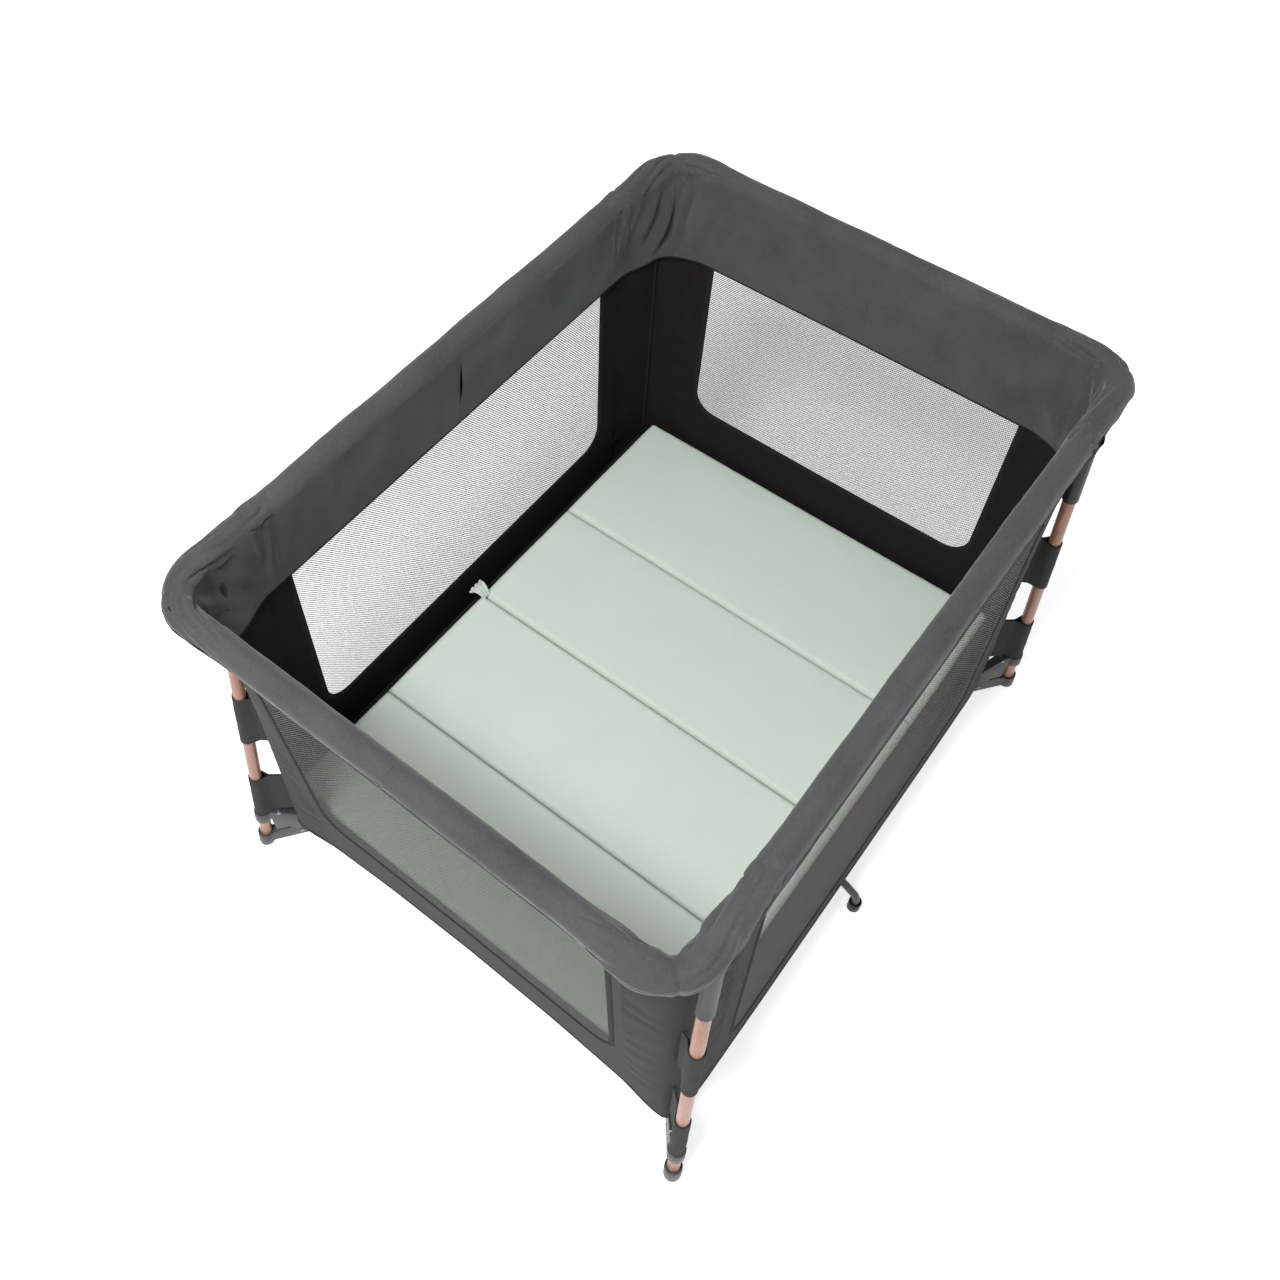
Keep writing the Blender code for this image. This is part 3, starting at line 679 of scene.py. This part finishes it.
rising = wave_of(round_run.outputs["Value"], split.outputs["Z"], NET_SLANT)
falling = wave_of(round_run.outputs["Value"], split.outputs["Z"], -NET_SLANT)
highest = nodes.new("ShaderNodeMath")
highest.operation = "MAXIMUM"
links.new(rising.outputs["Value"], highest.inputs[0])
links.new(falling.outputs["Value"], highest.inputs[1])
thread = nodes.new("ShaderNodeMath")
thread.operation = "GREATER_THAN"
thread.inputs[1].default_value = NET_OPEN
links.new(highest.outputs["Value"], thread.inputs[0])
links.new(thread.outputs["Value"], shader.inputs["Alpha"])

for corner, signs in CORNERS.items():
    for part, side in zip(("long", "short"), side_names(signs)):
        long_side = part == "long"
        low = NET_LOW_Z[side]
        half = (LONG_NET if long_side else SHORT_NET) + NET_TUCK

        def net_place(u, w):
            run = half * u if long_side else WALL_LENGTH - half * (1 - u)
            z = low - NET_TUCK + (NET_TOP_Z + 2 * NET_TUCK - low) * w
            return mirrored(signs, wall_at(run, z), z)

        net = sewn_grid(f"net_{part}_{corner}", 44, 56, net_place)
        drop_faces(
            net,
            lambda c: not in_net(
                abs(c.x) if long_side else abs(c.y), c.z, long_side, low, 0.005
            ),
        )
        turn_out(net)
        net.data.materials.append(net_cloth)
        thicken(net, NET_THICK)
        fold_with_frame(net, signs, part)
        if side == NET_OWNER[corner]:
            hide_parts("mesh_window_" + side)


# Bindings and hems. A folded tape is sewn over the cut edge round each net, and the
# bottom edge of the tub is turned up and stitched round a thin cord.
BINDING_HALF = (0.0055, 0.0018)
HEM_HALF = (0.0028, 0.0020)


def along_path(name, points, outs, half_wide, half_thick, sides=8):
    """Closed flat band swept along points; outs are the ways its face looks."""
    count = len(points) - 1
    angles = [2 * math.pi * k / sides for k in range(sides)]
    ring = [(half_wide * math.cos(angle), half_thick * math.sin(angle)) for angle in angles]

    def band_place(u, w):
        k = min(int(round(u * count)), count)
        before, after = points[max(k - 1, 0)], points[min(k + 1, count)]
        run = (after - before).normalized()
        out = outs[k].normalized()
        side = run.cross(out).normalized()
        j = int(round(w * sides)) % sides
        return points[k] + side * ring[j][0] + out * ring[j][1]

    piece = sewn_grid(name, count, sides, band_place)
    close_up(piece, 50.0)
    return piece


def net_edge(long_side, low):
    """Run and height of points round half a net, from its middle below to its top."""
    half = LONG_NET if long_side else SHORT_NET
    points = [(half * k / 14, low) for k in range(13)]
    points = [(run, z) for run, z in points if run < half - NET_CORNER - 0.004]
    for k in range(9):
        angle = math.pi / 2 * k / 8
        run = half - NET_CORNER + NET_CORNER * math.sin(angle)
        points.append((run, low + NET_CORNER - NET_CORNER * math.cos(angle)))
    rows = 12
    side_high = NET_TOP_Z - low - NET_CORNER
    points += [(half, low + NET_CORNER + side_high * k / rows) for k in range(1, rows)]
    points.append((half, NET_TOP_Z))
    return points


def wall_trim(name, signs, places, inset, half, cloth, sides=8):
    """Band laid along runs and heights on the wall, sunk inward by the inset."""
    points, outs = [], []
    for run, z in places:
        plan, out = wall_at(run, z), wall_out(run)
        points.append(mirrored(signs, plan - out * inset, z))
        outs.append(mirrored(signs, out, 0.0))
    trim = along_path(name, points, outs, *half, sides)
    trim.data.materials.append(cloth)
    return trim


for corner, signs in CORNERS.items():
    for part, side in zip(("long", "short"), side_names(signs)):
        long_side = part == "long"
        edge = net_edge(long_side, NET_LOW_Z[side])
        places = [(run if long_side else WALL_LENGTH - run, z) for run, z in edge]
        name = f"binding_{part}_{corner}"
        band = wall_trim(
            name, signs, places, 0.0, BINDING_HALF, binding_cloth, 10
        )
        fold_with_frame(band, signs, part)
    for part, (start, stop, columns) in SPANS.items():
        steps = columns // 2
        runs = [start + (stop - start) * k / steps for k in range(steps + 1)]
        places = [(run, hem_height(run, signs)) for run in runs]
        name = f"hem_{part}_{corner}"
        hem = wall_trim(name, signs, places, 0.0, HEM_HALF, tub_cloth)
        fold_with_frame(hem, signs, part)


# Leg loops. Two sleeves of tub cloth to a leg, sewn to the corner cloth along a
# seam and pulled round the tube, so the tub hangs true between the legs.
LOOPS = {"upper": (0.3355, 0.4551), "lower": (0.1040, 0.2187)}
LOOP_RADIUS = 0.0110
LOOP_RUN = (LONG_SPLIT + CORNER_END) / 2
LOOP_THICK = 0.0014
WRAP_ANGLE = math.radians(128.0)
WRAP_END = 0.60
NECK_END = 0.75
for corner, signs in CORNERS.items():
    sx, sy = signs
    for level, (low, high) in LOOPS.items():

        def loop_place(u, w):
            z = low + (high - low) * w
            centre = leg_line(signs, z)
            tail = mirrored(signs, wall_at(LOOP_RUN, z), z) - centre
            way = tail.normalized()
            across = way.cross(Vector((0, 0, 1))).normalized()
            turn = (u - 0.5) * 2
            wrinkle = 0.0005 * noise.noise(
                Vector((turn * 2.0, w * 5.0, sx + 3.0 * sy + low * 9.0))
            )
            side = math.copysign(1.0, turn)
            if abs(turn) < WRAP_END:
                angle = turn / WRAP_END * WRAP_ANGLE
                radius = LOOP_RADIUS + wrinkle
                return (
                    centre
                    - way * radius * math.cos(angle)
                    + across * radius * math.sin(angle)
                )
            start = across * LOOP_RADIUS * math.sin(WRAP_ANGLE) * side
            start -= way * LOOP_RADIUS * math.cos(WRAP_ANGLE)
            neck = way * min(LOOP_RADIUS * 1.8, tail.length * 0.6) + across * 0.0013 * side
            if abs(turn) < NECK_END:
                return centre + start.lerp(neck, (abs(turn) - WRAP_END) / (NECK_END - WRAP_END))
            share = (abs(turn) - NECK_END) / (1 - NECK_END)
            return centre + neck.lerp(tail + across * 0.0011 * side, share)

        loop = sewn_grid(f"loop_{level}_{corner}", 60, 26, loop_place)
        edit_mesh(loop)
        bpy.ops.mesh.remove_doubles(threshold=0.00002)
        bpy.ops.object.mode_set(mode="OBJECT")
        turn_out(loop)
        loop.data.materials.append(tub_cloth)
        thicken(loop, LOOP_THICK)
        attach(loop, "leg_" + corner)


# Rail covers. A foam sleeve in heathered cloth round each half rail, fuller and
# creased at the corner, where the halves meet in a stitched seam over the casting.
RAIL_PLAN = (0.5224, 0.378)
RAIL_BEND = 0.055
ROLL_RADIUS = 0.0180
ROLL_CORNER_RADIUS = 0.0250
FULL_SEED = 13.0
ROLL_LEAST = 0.0165
BEND_CENTRE = (RAIL_PLAN[0] - RAIL_BEND, RAIL_PLAN[1] - RAIL_BEND)
BEND_LENGTH = RAIL_BEND * math.pi / 2
RAIL_LENGTH = BEND_CENTRE[0] + BEND_LENGTH + BEND_CENTRE[1]
SEAM_RUN = BEND_CENTRE[0] + BEND_LENGTH / 2
cover_cloth = cloth_finish("cover_cloth", (0.056, 0.056, 0.058), 0.26, 0.20)


def corner_seed(signs):
    """Number that gives each corner its own creases."""
    return 20.0 + 3.0 * signs[0] + 5.0 * signs[1]


def rail_at(run):
    """Plan point of the rail's centre line and its outward way, from mid long side."""
    if run <= BEND_CENTRE[0]:
        return Vector((run, RAIL_PLAN[1])), Vector((0.0, 1.0))
    if run >= BEND_CENTRE[0] + BEND_LENGTH:
        return Vector((RAIL_PLAN[0], RAIL_LENGTH - run)), Vector((1.0, 0.0))
    angle = math.pi / 2 - (run - BEND_CENTRE[0]) / RAIL_BEND
    out = Vector((math.cos(angle), math.sin(angle)))
    return Vector(BEND_CENTRE) + out * RAIL_BEND, out


def roll_shape(run, angle, seed):
    """Radius of the sleeve at a place along it and round it, creases included."""
    away = abs(run - SEAM_RUN)
    corner = math.exp(-((away / 0.090) ** 4))
    full = ROLL_CORNER_RADIUS if seed < FULL_SEED else ROLL_CORNER_RADIUS - 0.0035
    radius = ROLL_RADIUS + (full - ROLL_RADIUS) * corner
    inner = 0.5 - 0.5 * math.cos(angle)
    spot = Vector((run * 15.0 + angle * 1.1, angle * 0.8, seed))
    crease = 1.0 - min(1.0, abs(noise.noise(spot)) * 3.2)
    gathers = math.exp(-(((away - 0.035) / 0.055) ** 2)) * (0.45 + 0.55 * inner)
    radius -= 0.0078 * gathers * crease
    radius -= 0.0085 * inner * math.exp(-((away / 0.016) ** 2))
    radius -= 0.0022 * math.exp(-((away / 0.0030) ** 2))
    fold = 1.0 - min(1.0, abs(noise.noise(Vector((run * 44.0, angle * 1.3, seed + 11.0)))) * 4.0)
    radius -= 0.0050 * math.exp(-(((run - 0.372) / 0.020) ** 2)) * (fold - 0.3)
    soft = noise.noise(Vector((run * 11.0, angle * 0.9, seed + 5.0)))
    fine = noise.noise(Vector((run * 45.0, angle * 2.2, seed + 9.0)))
    return max(ROLL_LEAST, radius) + 0.0012 * soft + 0.0005 * fine


def roll_point(run, angle, seed, lift=0.0):
    """Angle 0 is the outward side, a quarter turn the crown, a half turn the inside."""
    plan, out = rail_at(run)
    radius = roll_shape(run, angle, seed) + lift
    reach = radius * math.cos(angle)
    sag = 0.004 * math.exp(-(((run - SEAM_RUN) / 0.07) ** 2))
    return Vector(
        (
            plan.x + out.x * reach,
            plan.y + out.y * reach,
            RAIL_CENTRE_Z - sag + radius * math.sin(angle),
        )
    )


for corner, signs in CORNERS.items():
    sx, sy = signs
    seed = corner_seed(signs)
    for part, start, stop in (
        ("long", 0.0, SEAM_RUN),
        ("short", RAIL_LENGTH, SEAM_RUN),
    ):

        def cover_place(u, w):
            run = start + (stop - start) * u
            point = roll_point(run, 2 * math.pi * w, seed)
            return mirrored(signs, point, point.z)

        cover = sewn_grid(f"cover_{part}_{corner}", 170, 56, cover_place)
        close_up(cover, 60.0)
        cover.data.materials.append(cover_cloth)
        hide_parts(f"{part}_cover_{corner}")
        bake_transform(cover)


# Cover skirt. The covers' cloth comes over the rail and hangs down inside to a
# piped seam along the top of the nets, with a seam down each corner.
SKIRT_LOW_Z = 0.618
SKIRT_THICK = 0.0010
SKIRT_WRAP = 0.22
PIPING_HALF = 0.0017
CROWN_ANGLE = math.pi / 2


def rail_run(run):
    """The rail's own run beside a place on the wall."""
    if run <= LONG_SPLIT:
        return run
    if run >= CORNER_END:
        return RAIL_LENGTH - (WALL_LENGTH - run)
    share = (run - LONG_SPLIT) / (CORNER_END - LONG_SPLIT)
    return LONG_SPLIT + share * (RAIL_LENGTH - SHORT_SPLIT - LONG_SPLIT)


def skirt_point(run, drop, seed):
    """Point of the skirt: drop 0 is inside the roll and 1 is at the piping."""
    along = rail_run(run)
    if drop <= SKIRT_WRAP:
        turn = drop / SKIRT_WRAP
        lift = -0.0014 + 0.0020 * min(1.0, turn * 1.4)
        return roll_point(along, CROWN_ANGLE * (1.30 + 0.74 * turn), seed, lift)
    share = (drop - SKIRT_WRAP) / (1 - SKIRT_WRAP)
    top = roll_point(along, CROWN_ANGLE * 2.04, seed, 0.0006)
    plan, out = wall_at(run, SKIRT_LOW_Z), wall_out(run)
    low = Vector((plan.x - out.x * 0.0035, plan.y - out.y * 0.0035, SKIRT_LOW_Z))
    point = top.lerp(low, share)
    away = abs(along - SEAM_RUN)
    gathers = math.exp(-((away / 0.09) ** 2))
    slant = Vector((along * 22.0 + share * 1.5, share * 1.2, seed + 2.0))
    fold = (abs(noise.noise(slant)) * 2.0 - 0.5) * gathers * 0.011
    broad = noise.noise(Vector((along * 16.0, share * 1.2, seed + 4.0))) * 0.0060
    kink = math.exp(-(((along - 0.375) / 0.03) ** 2))
    nick = (abs(noise.noise(Vector((along * 55.0, share * 2.0, seed + 6.0)))) - 0.3) * kink
    pinch = math.exp(-((away / 0.004) ** 2)) * 0.003
    depth = 1.4 * (fold + broad + nick * 0.004 - pinch) * math.sin(math.pi * share)
    _, rail_out = rail_at(along)
    return point + Vector((-rail_out.x * depth, -rail_out.y * depth, 0.0))


for corner, signs in CORNERS.items():
    seed = corner_seed(signs)
    for part, (start, stop, columns) in SPANS.items():

        def skirt_place(u, w):
            point = skirt_point(start + (stop - start) * u, 1 - w, seed)
            return mirrored(signs, point, point.z)

        skirt = sewn_grid(f"skirt_{part}_{corner}", columns * 2, 44, skirt_place)
        turn_out(skirt)
        skirt.data.materials.append(cover_cloth)
        thicken(skirt, SKIRT_THICK)
        fold_with_frame(skirt, signs, part)
        points, outs = [], []
        for k in range(columns + 1):
            run = start + (stop - start) * k / columns
            point = skirt_point(run, 1.0, seed)
            points.append(mirrored(signs, point, point.z))
            outs.append(mirrored(signs, wall_out(run), 0.0))
        name = f"piping_{part}_{corner}"
        piping = along_path(name, points, outs, PIPING_HALF, PIPING_HALF)
        piping.data.materials.append(binding_cloth)
        fold_with_frame(piping, signs, part)


# Tub floor. A laminated cloth sheet on the base arms and hub, its borders turned
# down and sewn to the wall above the hem; it rides on the base hub.
FLOOR_HALF = (0.470, 0.384)
FLOOR_CUT = 0.034
FLOOR_Z = 0.1905
FLOOR_BORDER = 0.045
FLOOR_FALL = 0.095


def floor_place(u, w):
    """Flat over the base, with cut corners and a border that falls along the wall."""
    x, y = (u * 2 - 1) * FLOOR_HALF[0], (w * 2 - 1) * FLOOR_HALF[1]
    cut = max(0.0, abs(x) + abs(y) - (FLOOR_HALF[0] + FLOOR_HALF[1] - FLOOR_CUT))
    x -= math.copysign(cut / 2, x)
    y -= math.copysign(cut / 2, y)
    wave = 0.0010 * noise.noise(Vector((x * 7.0, y * 7.0, 1.0)))
    edge = min(1 - abs(u * 2 - 1), 1 - abs(w * 2 - 1))
    fall = max(0.0, 1 - edge / FLOOR_BORDER)
    return Vector((x, y, FLOOR_Z + wave - FLOOR_FALL * fall))


floor_sheet = sewn_grid("tub_floor_sheet", 90, 90, floor_place)
turn_out(floor_sheet)
# The floor sheet takes the inside cloth: dark lining plus painted shade.
floor_sheet.data.materials.append(lining_and_painted_shade)
thicken(floor_sheet, 0.0016)
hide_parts("tub_floor")
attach(floor_sheet, "base_hub")
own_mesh(floor_sheet)


# Mattress. Four stiff padded panels in one sage cotton cover, stitched flat at three
# folds so that it closes like a concertina.
SEAMS_X = (-0.470, -0.2595, -0.023, 0.209, 0.470)
MATTRESS_Z = (0.1942, 0.2216)
MATTRESS_HALF = 0.350
SEAM_GAP = 0.0012
OUTER_RIM = 0.010
FOLD_RIM = 0.007
FACE_TURN = 1.7
SIDE_TURN = 0.3
sage_cloth = cloth_finish("sage_cloth", (0.50, 0.57, 0.50), 0.02, 0.10)


def rounded(distance, radius):
    """Drop of a rounded edge at a distance in from it."""
    if distance >= radius:
        return 0.0
    return radius - math.sqrt(max(0.0, radius**2 - (radius - distance) ** 2))


for number in range(4):
    left, right = SEAMS_X[number] + SEAM_GAP, SEAMS_X[number + 1] - SEAM_GAP
    left_rim = OUTER_RIM if number == 0 else FOLD_RIM
    right_rim = OUTER_RIM if number == 3 else FOLD_RIM

    def pad_place(u, w):
        """The panel's skin: over the top, down one side, under, and up the other."""
        turn = w * 4
        y = (u * 2 - 1) * MATTRESS_HALF
        span = right - left
        if turn < FACE_TURN:
            x, share = left + span * turn / FACE_TURN, 1.0
        elif turn < 2.0:
            x, share = right, 1 - (turn - FACE_TURN) / SIDE_TURN
        elif turn < 2.0 + FACE_TURN:
            x, share = right - span * (turn - 2.0) / FACE_TURN, 0.0
        else:
            x, share = left, (turn - 2.0 - FACE_TURN) / SIDE_TURN
        edge_x = min(x - left, right - x)
        edge_y = MATTRESS_HALF - abs(y)
        near_rim = left_rim if x - left < right - x else right_rim
        drop = min(OUTER_RIM, rounded(edge_x, near_rim) + rounded(edge_y, OUTER_RIM))
        swell = 0.0012 * math.sin(math.pi * min(1.0, edge_x / 0.05) / 2) - 0.0014
        pucker = 0.0009 * math.exp(-edge_x / 0.010) * noise.noise(
            Vector((y * 45.0, x * 20.0, number))
        )
        creases = 0.0010 * noise.noise(Vector((x * 9.0, y * 7.0, 3.0 + number)))
        height = MATTRESS_Z[1] + swell - drop + pucker + creases * min(1.0, edge_x / 0.03)
        low = MATTRESS_Z[0] + drop * 0.6
        z = low + (height - low) * share
        return Vector((x, y, z))

    pad = sewn_grid(f"mattress_pad_{number + 1}", 150, 160, pad_place)
    close_up(pad, 55.0)
    pad.data.materials.append(sage_cloth)
    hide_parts(f"mattress_panel_{number + 1}")
    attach(pad, f"panel_{number + 1}")
    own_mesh(pad)


# Pull tab. A gathered tab of the cover cloth at the middle fold, to lift the
# mattress out by.
TAB_ROOT = (SEAMS_X[2], MATTRESS_HALF - 0.010, 0.2195)


def tab_place(u, w):
    """Tab that widens from its root, arched and gathered across."""
    reach, side = 0.026 * w, (u - 0.5) * 2
    spread = 0.007 + 0.007 * w
    gather = 0.0022 * math.sin(side * 9.0) * (0.4 + w)
    lift = 0.013 * math.sin(math.pi * min(1.0, w * 1.15) * 0.8)
    return Vector(
        (TAB_ROOT[0] + side * spread, TAB_ROOT[1] + reach, TAB_ROOT[2] + lift + gather)
    )


tab = sewn_grid("pull_tab", 24, 18, tab_place)
turn_out(tab)
tab.data.materials.append(sage_cloth)
thicken(tab, 0.0026)
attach(tab, "panel_2")
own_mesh(tab)


# Corner seams. Inside each corner the lining is closed by a piped seam, from the
# floor up to the skirt.
SEAM_LOW_Z = 0.196
SEAM_INSET = 0.0026
SEAM_HALF = (0.0016, 0.0016)
seam_high = SKIRT_LOW_Z - SEAM_LOW_Z
seam_places = [(LOOP_RUN, SEAM_LOW_Z + seam_high * k / 24) for k in range(25)]
for corner, signs in CORNERS.items():
    name = f"corner_seam_{corner}"
    seam = wall_trim(
        name, signs, seam_places, SEAM_INSET, SEAM_HALF, binding_cloth
    )
    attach(seam, "leg_" + corner)


# Care tag. A small plain tan cloth tag in the seam of one lower corner.
tag_cloth = cloth_finish("tag_cloth", (0.42, 0.25, 0.14), 0.05, 0.05)


TAG_FLAT = (0.018, 0.040)
TAG_LOW_Z = 0.105


def tag_place(u, w):
    """Slightly bowed flap just outside the corner wall."""
    run = LOOP_RUN + 0.030 + TAG_FLAT[0] * u
    z = TAG_LOW_Z + TAG_FLAT[1] * w
    away = 0.0045 + 0.002 * math.sin(w * 3.0)
    return mirrored(CORNERS["front_right"], wall_at(run, z) + wall_out(run) * away, z)


tag = sewn_grid("care_tag", 8, 14, tag_place)
turn_out(tag)
tag.data.materials.append(tag_cloth)
thicken(tag, 0.0006)
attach(tag, "leg_front_right")
